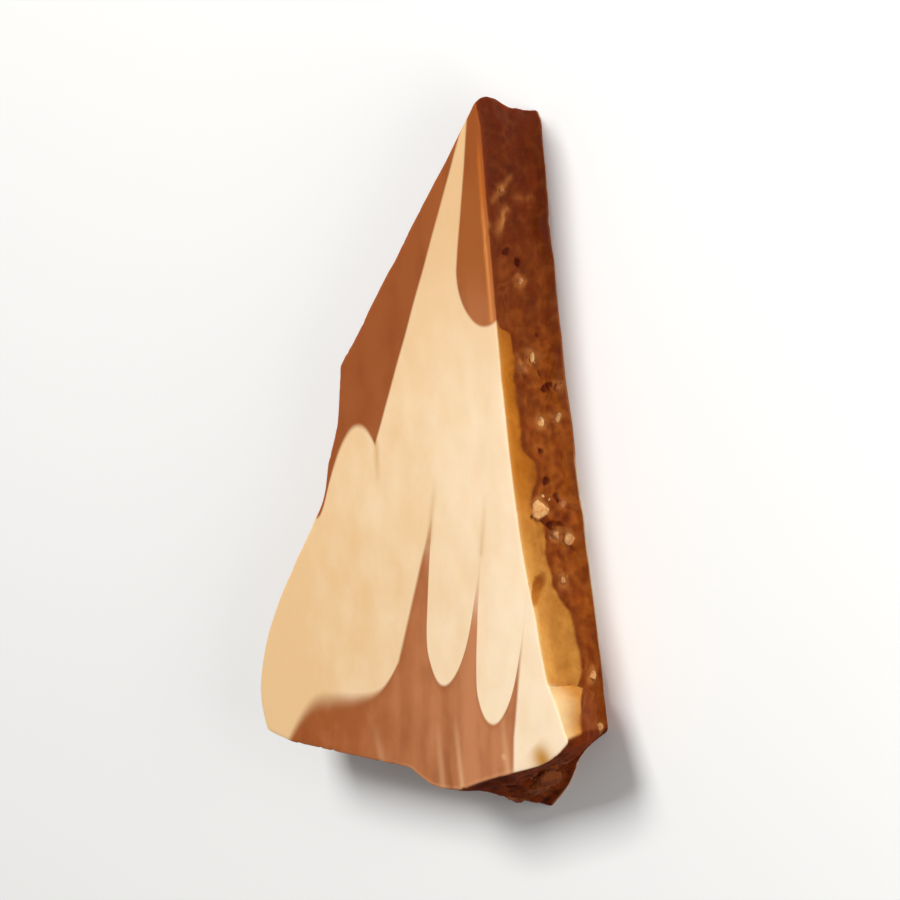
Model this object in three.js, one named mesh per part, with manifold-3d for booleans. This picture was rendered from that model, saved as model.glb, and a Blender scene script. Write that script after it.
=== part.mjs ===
import * as THREE from "three";
import { mergeVertices } from "three/addons/utils/BufferGeometryUtils.js";
import Module from "manifold-3d";

// A piece broken off a poured slab of marbled chocolate with caramel crunch in it.
// It lies on its back with the smooth marbled face up. Sizes are in millimetres,
// +X is to the right of the face and +Y runs towards its tip.

// Driving dimensions of the slab and of the grid on its broken edge.
const SLAB_THICKNESS = 10;
const COLUMN_SPACING = 1.02;
const EDGE_ROWS = 10;
const GRID_CENTRE = new THREE.Vector2(0, -15);

// The outline of the face, anticlockwise from the tip. Each row gives a point of the face
// and how far the edge of the back lies from it, because the breaks lean in or out.
// Points between two corners lie on one smooth curve.
const OUTLINE = [
  { face: [9.0, 43.0], lean: [-0.2, -2.1], corner: true },
  { face: [-13.1, 9.5], lean: [1.1, -0.4], corner: true },
  { face: [-13.55, 3.2], lean: [1.6, 0.0] },
  { face: [-15.0, -2.0], lean: [1.0, 0.3] },
  { face: [-16.2, -6.9], lean: [0.6, 0.6] },
  { face: [-20.15, -13.85], lean: [-0.7, 0.4] },
  { face: [-24.6, -22.3], lean: [0.5, 0.8] },
  { face: [-26.4, -30.0], lean: [1.4, 0.8] },
  { face: [-25.25, -34.95], lean: [1.3, 1.6], corner: true },
  { face: [-21.3, -35.7], lean: [0.4, 1.0], corner: true },
  { face: [-1.6, -35.4], lean: [0.6, -1.2], corner: true },
  { face: [2.35, -36.8], lean: [2.65, -1.5] },
  { face: [6.9, -36.5], lean: [4.6, -2.9], corner: true },
  { face: [13.4, -33.85], lean: [0.8, -2.55] },
  { face: [20.6, -31.0], lean: [-3.9, -1.0] },
  { face: [24.2, -28.0], lean: [-3.6, -0.9], corner: true },
  { face: [20.85, -21.8], lean: [-1.35, 0.2], corner: true },
  { face: [17.85, -11.2], lean: [-0.15, 0.0] },
  { face: [15.15, 0.2], lean: [0.55, 0.0] },
  { face: [12.45, 18.4], lean: [0.05, 0.0] },
  { face: [9.9, 40.5], lean: [-0.3, -0.7], corner: true },
];

// Shell-shaped scoops that a break leaves in the edge, deeper away from the two rims.
const SCOOP_SEED = 41;
const SCOOP_COUNT = 120;
const SCOOP_HALF_LENGTH = [2.0, 6.5];
const SCOOP_HALF_HEIGHT = [1.6, 4.6];
const SCOOP_DEPTH = [0.25, 1.05];
const RIM_SHARE = 0.16;
const RIM_DEPTH = 2.2;
const CLEAR_OF_TIP = 5;

// The break's fine crumble, as a random push of each point of the grid.
const CRUMBLE = 0.11;

// The worn tip, which stands highest a little below the face.
const TIP_CREST = { height: 7.5, halfHeight: 2.9, rise: 1.05, reach: 3.2 };

// The bevel at the lower right corner, which swells to a ridge below the face.
const BEVEL = { top: -22.3, bottom: -30.0, ridgeHeight: 6.8, swell: 1.3 };

// Crunch and pits that show on the right-hand break: height over the back, place along Y
// and radius.
const RIGHT_CRUNCH = [
  [7.4, 32.8, 0.7],
  [7.2, 30.0, 0.8],
  [5.6, 22.2, 0.7],
  [5.3, 13.4, 1.15],
  [3.6, 12.8, 0.9],
  [1.7, 9.0, 0.8],
  [4.7, 6.4, 0.75],
  [2.1, 6.6, 0.8],
  [6.4, -2.8, 1.15],
  [2.5, -3.2, 0.9],
  [4.9, -5.8, 0.95],
  [2.7, -6.8, 0.85],
  [4.7, -10.9, 0.7],
  [1.8, -22.5, 0.9],
  [1.5, -27.0, 0.8],
];
const RIGHT_PITS = [
  [7.1, 25.8, 0.55],
  [5.8, 24.6, 0.65],
  [4.5, 11.2, 0.55],
  [2.9, 10.4, 0.95],
  [5.2, 3.3, 0.55],
  [5.3, 0.0, 0.75],
  [4.1, -2.2, 0.6],
];

// Crunch and pits on the breaks that face away, spread by a seeded rule.
const HIDDEN_SEED = 7;
const HIDDEN_CRUNCH = 34;
const HIDDEN_PITS = 16;
const CRUNCH_RADIUS = [0.7, 1.7];
const PIT_RADIUS = [0.45, 0.9];
const CRUNCH_SINK = 0.5;
const CRUNCH_ROUGHNESS = 0.28;
const CLEAR_OF_RIMS = 0.5;
const FINE_LUMP_RADIUS = 1.1;

// Colour, roughness and metalness of the milk chocolate that the slab is mostly made of.
const MILK_CHOCOLATE = { color: 0x93522a, roughness: 0.42, metalness: 0 };

// A small random number generator, so that every run draws the same numbers.
function seededRandom(seed) {
  const multiplier = 16807;
  const modulus = 2147483647;
  let state = seed * 7919 + 1;
  return () => {
    state = (state * multiplier) % modulus;
    return state / modulus;
  };
}

function between([low, high], share) {
  return low + (high - low) * share;
}

// The outline as columns, each with its point on the face and on the back, the distance
// along the face's rim and the direction out of the slab.
function outlineColumns() {
  const columns = [];
  const cornerRows = OUTLINE.map((row, index) => (row.corner ? index : -1)).filter((index) => index >= 0);
  let distance = 0;
  cornerRows.forEach((start, order) => {
    const end = order + 1 < cornerRows.length ? cornerRows[order + 1] : OUTLINE.length;
    const rows = [];
    for (let index = start; index <= end; index += 1) {
      rows.push(OUTLINE[index % OUTLINE.length]);
    }
    const face = new THREE.SplineCurve(rows.map((row) => new THREE.Vector2(...row.face)));
    const back = new THREE.SplineCurve(
      rows.map((row) => new THREE.Vector2(row.face[0] + row.lean[0], row.face[1] + row.lean[1])),
    );
    const length = face.getLength();
    const count = Math.max(1, Math.round(length / COLUMN_SPACING));
    for (let step = 0; step < count; step += 1) {
      const curveShare = face.getUtoTmapping(step / count);
      columns.push({
        face: face.getPoint(curveShare),
        back: back.getPoint(curveShare),
        distance: distance + (length * step) / count,
      });
    }
    distance += length;
  });
  columns.forEach((column, index) => {
    const before = columns[(index + columns.length - 1) % columns.length].face;
    const after = columns[(index + 1) % columns.length].face;
    column.out = new THREE.Vector2(after.y - before.y, before.x - after.x).normalize();
  });
  return { columns, rimLength: distance };
}

// Scoops with their place along the rim and over the back, their size and their depth.
function drawScoops(rimLength) {
  const random = seededRandom(SCOOP_SEED);
  const scoops = [];
  for (let index = 0; index < SCOOP_COUNT; index += 1) {
    scoops.push({
      distance: rimLength * random(),
      height: SLAB_THICKNESS * random(),
      halfLength: between(SCOOP_HALF_LENGTH, random()),
      halfHeight: between(SCOOP_HALF_HEIGHT, random()),
      depth: between(SCOOP_DEPTH, random() ** 1.6),
    });
  }
  return scoops;
}

// How far the deepest scoop at this place cuts in, less at the two rims.
function scoopDepth(distance, height, scoops, rimLength) {
  let deepest = 0;
  for (const scoop of scoops) {
    const apart = Math.abs(distance - scoop.distance);
    const along = Math.min(apart, rimLength - apart) / scoop.halfLength;
    const up = (height - scoop.height) / scoop.halfHeight;
    const inside = 1 - along * along - up * up;
    deepest = Math.max(deepest, scoop.depth * inside);
  }
  const fromRim = Math.min(SLAB_THICKNESS - height, height * 2);
  const fromTip = Math.min(distance, rimLength - distance);
  const clear = Math.min(1, fromRim / RIM_DEPTH, fromTip / CLEAR_OF_TIP);
  return deepest * (RIM_SHARE + (1 - RIM_SHARE) * clear);
}

// A point of the broken edge: the blend of the face's and the back's outline, raised at
// the tip, swollen at the lower right bevel and cut in by the scoops.
function edgePoint(column, height, scoops, rimLength) {
  const lean = 1 - height / SLAB_THICKNESS;
  const point = column.face.clone().lerp(column.back, lean);
  const fromTip = column.face.distanceTo(new THREE.Vector2(...OUTLINE[0].face));
  const crest = 1 - ((height - TIP_CREST.height) / TIP_CREST.halfHeight) ** 2;
  point.y += TIP_CREST.rise * Math.max(0, crest) * Math.max(0, 1 - fromTip / TIP_CREST.reach);
  const onBevel = column.out.x > 0.5 && column.face.y < BEVEL.top && column.face.y > BEVEL.bottom;
  const rise = height > BEVEL.ridgeHeight
    ? (SLAB_THICKNESS - height) / (SLAB_THICKNESS - BEVEL.ridgeHeight)
    : height / BEVEL.ridgeHeight;
  const swell = onBevel ? BEVEL.swell * rise : 0;
  const push = swell - scoopDepth(column.distance, height, scoops, rimLength);
  return point.addScaledVector(column.out, push);
}

// The slab: a turned disc of the right thickness whose grid is laid on the outline, with
// its two poles at the centre of the face and of the back.
function slabGeometry(columns, rimLength, scoops) {
  const profile = [new THREE.Vector2(0, 0)];
  for (let row = 0; row <= EDGE_ROWS; row += 1) {
    profile.push(new THREE.Vector2(1, (SLAB_THICKNESS * row) / EDGE_ROWS));
  }
  profile.push(new THREE.Vector2(0, SLAB_THICKNESS));
  const geometry = new THREE.LatheGeometry(profile, columns.length);
  const random = seededRandom(SCOOP_SEED + 1);
  const crumble = columns.map(() => profile.map(() => CRUMBLE * (2 * random() - 1)));
  const { position, uv } = geometry.attributes;
  for (let index = 0; index < position.count; index += 1) {
    const columnIndex = Math.round(uv.getX(index) * columns.length) % columns.length;
    const row = Math.round(uv.getY(index) * (profile.length - 1));
    const isPole = profile[row].x === 0;
    const height = profile[row].y;
    const column = columns[columnIndex];
    const point = isPole ? GRID_CENTRE.clone() : edgePoint(column, height, scoops, rimLength);
    const isRim = height === 0 || height === SLAB_THICKNESS;
    if (!isRim) {
      point.addScaledVector(column.out, crumble[columnIndex][row]);
    }
    position.setXYZ(index, point.x, point.y, height);
  }
  return geometry;
}

// A rough lump: a low ball with each corner pushed in or out, the same for equal corners.
function lumpGeometry(radius, centre, detail, roughness, random) {
  const geometry = closedGeometry(new THREE.IcosahedronGeometry(radius, detail));
  const turn = new THREE.Euler(Math.PI * random(), Math.PI * random(), Math.PI * random());
  const stretch = new THREE.Vector3(1 + 0.3 * random(), 1, 1 - 0.25 * random());
  const { position } = geometry.attributes;
  const corner = new THREE.Vector3();
  for (let index = 0; index < position.count; index += 1) {
    corner.fromBufferAttribute(position, index);
    corner.multiplyScalar(1 + roughness * (random() - 0.5)).multiply(stretch);
    corner.applyEuler(turn).add(centre);
    position.setXYZ(index, corner.x, corner.y, corner.z);
  }
  return geometry;
}

// The geometry with its equal corners merged, as a closed body needs.
function closedGeometry(geometry) {
  geometry.deleteAttribute("normal");
  geometry.deleteAttribute("uv");
  return mergeVertices(geometry);
}

const wasm = await Module();
wasm.setup();

function solidFrom(geometry) {
  const mesh = new wasm.Mesh({
    numProp: 3,
    vertProperties: new Float32Array(geometry.attributes.position.array),
    triVerts: new Uint32Array(geometry.index.array),
  });
  return new wasm.Manifold(mesh);
}

function geometryFrom(solid) {
  const mesh = solid.getMesh();
  const geometry = new THREE.BufferGeometry();
  geometry.setAttribute("position", new THREE.BufferAttribute(mesh.vertProperties, 3));
  geometry.setIndex(new THREE.BufferAttribute(mesh.triVerts, 1));
  geometry.computeVertexNormals();
  return geometry;
}

// The column of the right-hand break that lies nearest to this Y.
function rightColumnAt(columns, y) {
  const rightBreak = columns.filter((column) => column.out.x > 0.9);
  return rightBreak.reduce((best, column) => {
    const isNearer = Math.abs(column.face.y - y) < Math.abs(best.face.y - y);
    return isNearer ? column : best;
  });
}

// Places for lumps on the breaks that face away, each with its column, height and radius.
function hiddenPlaces(columns, count, radiusRange, random) {
  const hidden = columns.filter((column) => column.out.x < 0.6 && column.distance > CLEAR_OF_TIP);
  const places = [];
  for (let index = 0; index < count; index += 1) {
    const share = (index + 0.8 * random()) / count;
    const radius = between(radiusRange, random() ** 2);
    const margin = radius + CLEAR_OF_RIMS;
    places.push({
      column: hidden[Math.floor(share * hidden.length)],
      height: margin + (SLAB_THICKNESS - 2 * margin) * random(),
      radius,
    });
  }
  return places;
}

function chocolateGeometry() {
  const { columns, rimLength } = outlineColumns();
  const scoops = drawScoops(rimLength);
  const slab = closedGeometry(slabGeometry(columns, rimLength, scoops));
  slab.computeBoundingBox();
  const middle = slab.boundingBox.getCenter(new THREE.Vector3());
  const random = seededRandom(HIDDEN_SEED);
  const named = ([height, y, radius]) => ({ column: rightColumnAt(columns, y), height, radius });
  const crunch = RIGHT_CRUNCH.map(named);
  const pits = RIGHT_PITS.map(named);
  crunch.push(...hiddenPlaces(columns, HIDDEN_CRUNCH, CRUNCH_RADIUS, random));
  pits.push(...hiddenPlaces(columns, HIDDEN_PITS, PIT_RADIUS, random));

  const lumpSolid = ({ column, height, radius }, sink, roughness) => {
    const edge = edgePoint(column, height, scoops, rimLength);
    edge.addScaledVector(column.out, -sink * radius);
    const centre = new THREE.Vector3(edge.x, edge.y, height);
    const detail = radius > FINE_LUMP_RADIUS ? 1 : 0;
    return solidFrom(lumpGeometry(radius, centre, detail, roughness, random));
  };
  let solid = solidFrom(slab);
  for (const pit of pits) {
    solid = solid.subtract(lumpSolid(pit, 0, CRUNCH_ROUGHNESS / 2));
  }
  for (const lump of crunch) {
    solid = solid.add(lumpSolid(lump, CRUNCH_SINK, CRUNCH_ROUGHNESS));
  }
  const geometry = geometryFrom(solid);
  geometry.translate(-middle.x, -middle.y, 0);
  return geometry;
}

const piece = new THREE.Mesh(
  chocolateGeometry(),
  new THREE.MeshStandardMaterial(MILK_CHOCOLATE),
);
piece.name = "chocolate_piece";

const model = new THREE.Group();
model.add(piece);

export default model;
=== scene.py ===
# %% [markdown]
# A shard of marbled chocolate, snapped by hand from a thin poured slab.
#
# The real thing is one piece: milk chocolate with a paler blonde chocolate dragged through
# its top while both were soft, and caramel crunch stirred in. The face set smooth, and the
# edges are fresh breaks, with scoops, pits and crunch in them.
#
# First comes the frame, the solid model that fixes size and place. Then numpy works out a
# closed skin for the chocolate and a mesh for the crunch. Then come the materials, written
# as arithmetic, and last the floor, the lights and the camera.

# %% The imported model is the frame
import math
from itertools import combinations

import bpy
import numpy as np
from mathutils import Matrix, Vector


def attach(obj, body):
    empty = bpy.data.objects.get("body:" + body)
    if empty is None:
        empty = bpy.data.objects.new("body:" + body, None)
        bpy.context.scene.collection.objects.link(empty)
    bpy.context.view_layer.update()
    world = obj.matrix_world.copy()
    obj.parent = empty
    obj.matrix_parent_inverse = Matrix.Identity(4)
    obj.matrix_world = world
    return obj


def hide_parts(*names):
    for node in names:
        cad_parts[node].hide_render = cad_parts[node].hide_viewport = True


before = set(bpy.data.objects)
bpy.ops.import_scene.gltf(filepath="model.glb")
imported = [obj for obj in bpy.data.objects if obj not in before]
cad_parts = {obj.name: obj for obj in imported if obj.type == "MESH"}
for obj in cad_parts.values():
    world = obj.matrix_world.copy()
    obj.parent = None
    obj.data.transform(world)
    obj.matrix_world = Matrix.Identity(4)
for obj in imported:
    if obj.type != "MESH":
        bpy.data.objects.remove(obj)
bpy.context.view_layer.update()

# %% [markdown]
# Sizes come first, in millimetres, as one thinks about a sweet. The face's outline is a list
# of points, anticlockwise from the tip. Each row also says how far the back's edge lies from
# the face's edge, since a break is rarely square, and whether the point is a corner. Between
# two corners the points lie on one smooth curve.

# %% Driving dimensions of the slab
MM = 0.001
THICKNESS = 10.0
GRID_CENTRE = np.array([0.0, -15.0])
OUTLINE = np.array([
    # face x, face y, lean x, lean y, corner
    (9.0, 43.0, -0.2, -2.1, 1),
    (-13.1, 9.5, 1.1, -0.4, 1),
    (-13.55, 3.2, 1.6, 0.0, 0),
    (-15.0, -2.0, 1.0, 0.3, 0),
    (-16.2, -6.9, 0.6, 0.6, 0),
    (-20.15, -13.85, -0.7, 0.4, 0),
    (-24.6, -22.3, 0.5, 0.8, 0),
    (-26.4, -30.0, 1.4, 0.8, 0),
    (-25.25, -34.95, 1.3, 1.6, 1),
    (-21.3, -35.7, 0.4, 1.0, 1),
    (-1.6, -35.4, 0.6, -1.2, 1),
    (2.35, -36.8, 2.65, -1.5, 0),
    (6.9, -36.5, 4.6, -2.9, 1),
    (13.4, -33.85, 0.8, -2.55, 0),
    (20.6, -31.0, -3.9, -1.0, 0),
    (24.2, -28.0, -3.6, -0.9, 1),
    (20.85, -21.8, -1.35, 0.2, 1),
    (17.85, -11.2, -0.15, 0.0, 0),
    (15.15, 0.2, 0.55, 0.0, 0),
    (12.45, 18.4, 0.05, 0.0, 0),
    (9.9, 40.5, -0.3, -0.7, 1),
])
TIP = OUTLINE[0, :2]
CLEAR_OF_TIP = 5.0
print("outline points:", len(OUTLINE))

# %% [markdown]
# The outline's curves are cubic splines, which pass through their points. Resampled by their
# length, they give columns that stand evenly round the rim. These are averaged over a third
# of a millimetre, because a broken corner is never razor sharp.

# %% Columns round the outline
COLUMN_SPACING = 0.186
CORNER_SOFTNESS = 0.32
CURVE_SAMPLES = 600


def spline(points, share):
    """A cubic between neighbours, whose slope at a point is half the step from the point
    before it to the point after it."""
    last = len(points) - 1
    start = np.minimum((share * last).astype(int), last - 1)
    weight = (share * last - start)[:, None]
    before = points[np.maximum(start - 1, 0)]
    here = points[start]
    there = points[start + 1]
    after = points[np.minimum(start + 2, last)]
    slope_here = (there - before) / 2
    slope_there = (after - here) / 2
    cubic = 2 * here - 2 * there + slope_here + slope_there
    square = 3 * there - 3 * here - 2 * slope_here - slope_there
    return ((cubic * weight + square) * weight + slope_here) * weight + here


def rim_average(values, width):
    """Weighted mean of each column with its neighbours round the rim, on a bell curve."""
    reach = int(3 * width / COLUMN_SPACING)
    steps = np.arange(-reach, reach + 1)
    weights = np.exp(-0.5 * (steps * COLUMN_SPACING / width) ** 2)
    rolled = [np.roll(values, step, axis=0) * weight for step, weight in zip(steps, weights)]
    return sum(rolled) / weights.sum()


def rim_columns():
    """Points on the face and on the back, distance along the rim and direction outwards."""
    corners = np.flatnonzero(OUTLINE[:, 4])
    closed = np.vstack([OUTLINE, OUTLINE[:1]])
    ends = np.append(corners[1:], len(OUTLINE))
    fine = np.linspace(0, 1, CURVE_SAMPLES)
    faces, backs, distances = [], [], []
    walked = 0.0
    for start, end in zip(corners, ends):
        face_points = closed[start:end + 1, :2]
        back_points = face_points + closed[start:end + 1, 2:4]
        drawn = spline(face_points, fine)
        lengths = np.append(0, np.cumsum(np.linalg.norm(np.diff(drawn, axis=0), axis=1)))
        count = round(lengths[-1] / COLUMN_SPACING)
        even = np.arange(count) / count
        share = np.interp(even * lengths[-1], lengths, fine)
        faces.append(spline(face_points, share))
        backs.append(spline(back_points, share))
        distances.append(walked + even * lengths[-1])
        walked += lengths[-1]
    face = rim_average(np.vstack(faces), CORNER_SOFTNESS)
    back = rim_average(np.vstack(backs), CORNER_SOFTNESS)
    millimetre = round(1 / COLUMN_SPACING)
    along = np.roll(face, -millimetre, axis=0) - np.roll(face, millimetre, axis=0)
    out = np.column_stack([along[:, 1], -along[:, 0]])
    out /= np.linalg.norm(out, axis=1)[:, None]
    return face, back, np.concatenate(distances), out, walked


FACE_RIM, BACK_RIM, RIM_DISTANCE, RIM_OUT, RIM_LENGTH = rim_columns()
COLUMNS = len(FACE_RIM)
print(f"{COLUMNS} columns on a rim of {RIM_LENGTH:.1f} mm")

# %% [markdown]
# Chance has to be repeatable, so the lesson brings its own. A small generator draws sizes and
# places, in the same order every time. For texture there are two fields over space: a cloud,
# which blends random numbers on a lattice, and bowls, which rise with the distance from the
# nearest of many scattered seeds.

# %% Seeded chance, clouds and bowls
CHANCE_STRIDE, CHANCE_FACTOR, CHANCE_PRIME = 7919, 16807, 2147483647
AXIS_FACTORS, SEED_FACTOR = (374761393, 668265263, 1442695041), 974634777
HASH_ROUNDS = ((13, 1274126177), (15, 2246822519))
BITS_KEPT, BITS_USED = 0xFFFFFFFF, 0xFFFFFF


def seeded_random(seed):
    """Each number is the last one times a factor, modulo a large prime."""
    state = seed * CHANCE_STRIDE + 1
    while True:
        state = state * CHANCE_FACTOR % CHANCE_PRIME
        yield state / CHANCE_PRIME


def lattice_chance(corner, seed):
    """A number from 0 to 1 for each whole-numbered lattice corner, by integer hashing."""
    mixed = (corner @ AXIS_FACTORS + seed * SEED_FACTOR) & BITS_KEPT
    for shift, factor in HASH_ROUNDS:
        mixed = ((mixed ^ (mixed >> shift)) * factor) & BITS_KEPT
    return ((mixed ^ (mixed >> 16)) & BITS_USED) / BITS_USED


def cloud(points, size, seed, layers=1):
    """Random lattice numbers, blended by a smooth step in each direction, from -1 to 1.
    Each further layer has half the size and half the strength of the one before it."""
    total, strength = 0.0, 1.0
    for layer in range(layers):
        place = points / (size / 2 ** layer)
        corner = np.floor(place).astype(np.int64)
        inside = place - corner
        ease = inside * inside * (3 - 2 * inside)
        value = 0.0
        for offset in np.ndindex(2, 2, 2):
            offset = np.array(offset)
            weight = np.prod(np.where(offset, ease, 1 - ease), axis=-1)
            value = value + weight * lattice_chance(corner + offset, seed + layer)
        total = total + strength * (2 * value - 1)
        strength /= 2
    return total / (2 - 2 * strength)


def bowls(points, size, seed):
    """Square of the distance to the nearest seed, in lattice cells of this size with one
    seed each: 0 in the middle of a bowl and about 0.5 on the ridges between bowls."""
    place = points / size
    corner = np.floor(place).astype(np.int64)
    nearest = np.full(place.shape[:-1], np.inf)
    for offset in np.ndindex(3, 3, 3):
        cell = corner + np.array(offset) - 1
        chance = np.stack([lattice_chance(cell, seed + axis) for axis in range(3)], axis=-1)
        nearest = np.minimum(nearest, np.linalg.norm(cell + chance - place, axis=-1))
    return nearest ** 2


print("first draws:", [round(next(seeded_random(seed)), 3) for seed in (1, 2, 3)])

# %% [markdown]
# Chocolate snaps along shell-shaped scoops, deeper away from the two rims. They are drawn
# from a seed, and the solid model draws the same ones, so the skin follows the solid and only
# adds what is finer. At each place the deepest scoop wins, which makes ridges between them.

# %% The broken edge's large form
SCOOP_SEED = 41
SCOOP_COUNT = 120
SCOOP_HALF_LENGTH = (2.0, 6.5)
SCOOP_HALF_HEIGHT = (1.6, 4.6)
SCOOP_DEPTH = (0.25, 1.05)
SHALLOW_BIAS = 1.6
RIM_SHARE = 0.16
RIM_DEPTH = 2.2
TIP_CREST = {"height": 7.6, "slope": 2.5, "rise": 1.05, "reach": 3.2}
BEVEL = {"top": -22.0, "slant": 0.25, "bottom": -30.0, "ridge": 6.8, "swell": 1.3}
# Breaks are told apart by the x of their outward direction.
BEVEL_FROM, OTHERS_BELOW, RIGHT_FROM = 0.5, 0.6, 0.9


def between(low_high, share):
    """The number at a share of the way along a range."""
    return low_high[0] + (low_high[1] - low_high[0]) * share


def draw_scoops():
    """Rows of place along the rim, height, half length, half height and depth."""
    chance = seeded_random(SCOOP_SEED)
    rows = []
    for _ in range(SCOOP_COUNT):
        distance = RIM_LENGTH * next(chance)
        height = THICKNESS * next(chance)
        half_length = between(SCOOP_HALF_LENGTH, next(chance))
        half_height = between(SCOOP_HALF_HEIGHT, next(chance))
        rows.append((distance, height, half_length, half_height,
                     between(SCOOP_DEPTH, next(chance) ** SHALLOW_BIAS)))
    return rows


SCOOPS = draw_scoops()


def scoop_depth(distance, height):
    """The deepest of the scoops' round bowls, fading to a small share at the rims."""
    deepest = np.zeros(np.broadcast(distance, height).shape)
    for place, middle, half_length, half_height, depth in SCOOPS:
        apart = np.abs(distance - place)
        along = np.minimum(apart, RIM_LENGTH - apart) / half_length
        up = (height - middle) / half_height
        deepest = np.maximum(deepest, depth * (1 - along ** 2 - up ** 2))
    from_rim = np.minimum(THICKNESS - height, height * 2) / RIM_DEPTH
    from_tip = np.minimum(distance, RIM_LENGTH - distance) / CLEAR_OF_TIP
    clear = np.clip(np.minimum(from_rim, from_tip), 0, 1)
    return deepest * (RIM_SHARE + (1 - RIM_SHARE) * clear)


def edge_surface(column, height):
    """Large form of the edge: a straight blend from the back's rim to the face's rim, with
    a crest at the tip, a swelling at the lower right bevel, and the scoops cut in."""
    lean = (1 - height / THICKNESS)[..., None]
    face, out = FACE_RIM[column], RIM_OUT[column]
    point = face * (1 - lean) + BACK_RIM[column] * lean
    from_tip = np.linalg.norm(face - TIP, axis=-1) / TIP_CREST["reach"]
    over = (height - TIP_CREST["height"]) / (THICKNESS - TIP_CREST["height"])
    under = (TIP_CREST["height"] - height) / TIP_CREST["slope"]
    crest = np.where(over > 0, 1 - over ** 2, np.exp(-under ** 2))
    rise = TIP_CREST["rise"] * crest * np.maximum(1 - from_tip, 0)
    below = height / BEVEL["ridge"]
    above = (THICKNESS - height) / (THICKNESS - BEVEL["ridge"])
    top = BEVEL["top"] - BEVEL["slant"] * (THICKNESS - height)
    x, y = out[..., 0], face[..., 1]
    on_bevel = (x > BEVEL_FROM) & (y < top) & (y > BEVEL["bottom"])
    swell = BEVEL["swell"] * np.where(on_bevel, np.minimum(above, below), 0)
    push = swell - scoop_depth(RIM_DISTANCE[column], height)
    moved = point + out * push[..., None]
    moved[..., 1] += rise
    return moved


print("deepest scoop:", round(max(row[4] for row in SCOOPS), 2), "mm")

# %% [markdown]
# Crunch, air pits, cracks and smears sit in the breaks. Those on the right-hand break can be
# seen one by one, so each has its own place and size, and the crunch a tone from amber to
# cream. Those on the other breaks are spread by a seeded rule, as in the solid model.

# %% Where the crunch, the pits and the marks are
RIGHT_CRUNCH = [
    # height, y, radius, tone
    (7.2, 33.0, 0.3, 0.42), (7.6, 29.6, 0.3, 0.4), (5.5, 22.4, 0.45, 0.4),
    (4.5, 13.7, 0.5, 0.8), (6.1, 13.0, 0.45, 0.3), (0.9, 9.6, 0.45, 0.3),
    (4.3, 6.3, 0.48, 1.0), (1.8, 6.5, 0.5, 0.6), (6.1, -2.9, 1.15, 1.0),
    (2.4, -2.9, 0.5, 0.3), (3.9, -6.1, 0.62, 0.6), (2.4, -6.7, 0.6, 0.6),
    (4.3, -11.3, 0.48, 0.6), (2.0, -22.3, 0.5, 0.8), (2.2, -27.4, 0.4, 0.6),
]
RIGHT_PITS = [
    # height, y, radius
    (7.45, 26.0, 0.38), (5.5, 24.5, 0.52), (3.75, 16.1, 0.35), (3.9, 11.85, 0.42),
    (3.4, 9.95, 0.48), (2.5, 9.9, 0.52), (1.7, 9.85, 0.4), (5.1, 3.2, 0.45),
    (4.9, -0.25, 0.52), (3.3, -2.3, 0.38),
]
RIGHT_MARKS = [
    # from height and y, to height and y, half width, push outwards, tint, painted shade below
    # zero
    (7.7, -3.5, 4.3, -5.0, 0.28, -0.5, -0.9),
    (4.3, -5.0, 3.1, -5.3, 0.24, -0.35, -0.7),
    (2.8, -7.4, 0.7, -8.8, 0.26, -0.4, -0.9),
    (9.1, 31.9, 5.4, 34.4, 0.38, 0.08, 0.38),
    (8.5, 28.8, 7.1, 30.5, 0.62, 0.08, 0.55),
    (5.3, 32.2, 2.8, 31.4, 0.4, 0.1, 0.3),
    (9.9, 29.5, 9.9, 29.1, 0.35, 0.1, 0.9),
    (4.6, 23.4, 9.4, 22.0, 0.2, 0.12, 0.2),
    (0.5, 10.1, 0.5, 9.0, 0.25, 0.05, 0.5),
    (6.6, 14.4, 5.6, 12.6, 0.3, 0.1, 0.4),
]
HIDDEN_SEED = 7
HIDDEN_CRUNCH = 34
HIDDEN_PITS = 16
CRUNCH_RADIUS = (0.7, 1.7)
PIT_RADIUS = (0.45, 0.9)
CLEAR_OF_RIMS = 0.5
UNEVENNESS = 0.8
# tones below 0 are painted shade, for crunch on the bottom break
HIDDEN_TONES, LOW_TONES = (0.0, 0.7), (-0.7, -1.0)


def right_column(y):
    """The column of the right-hand break that is nearest to this y."""
    right = np.flatnonzero(RIM_OUT[:, 0] > RIGHT_FROM)
    return right[np.argmin(np.abs(FACE_RIM[right, 1] - y))]


def edge_point(column, height):
    """One point of the large form of the edge, in space."""
    plane = edge_surface(np.array([column]), np.array([height]))[0]
    return np.append(plane, height)


def hidden_places(count, radius_range, chance):
    """Even shares of the other breaks' length, each with a random height and radius."""
    hidden = np.flatnonzero((RIM_OUT[:, 0] < OTHERS_BELOW) & (RIM_DISTANCE > CLEAR_OF_TIP))
    places = []
    for index in range(count):
        share = (index + UNEVENNESS * next(chance)) / count
        radius = between(radius_range, next(chance) ** 2)
        margin = radius + CLEAR_OF_RIMS
        height = margin + (THICKNESS - 2 * margin) * next(chance)
        places.append((hidden[int(share * len(hidden))], height, radius))
    return places


hidden_chance = seeded_random(HIDDEN_SEED)
tone_chance = seeded_random(HIDDEN_SEED + 1)
CRUNCH = [(right_column(y), height, radius, tone) for height, y, radius, tone in RIGHT_CRUNCH]
for place in hidden_places(HIDDEN_CRUNCH, CRUNCH_RADIUS, hidden_chance):
    x, y = FACE_RIM[place[0]]
    tones = LOW_TONES if x > 5 and y < 0 else HIDDEN_TONES
    CRUNCH.append((*place, between(tones, next(tone_chance))))
PITS = [(right_column(y), height, radius) for height, y, radius in RIGHT_PITS]
PITS += hidden_places(HIDDEN_PITS, PIT_RADIUS, hidden_chance)
print(len(CRUNCH), "places with crunch and", len(PITS), "pits")
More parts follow.
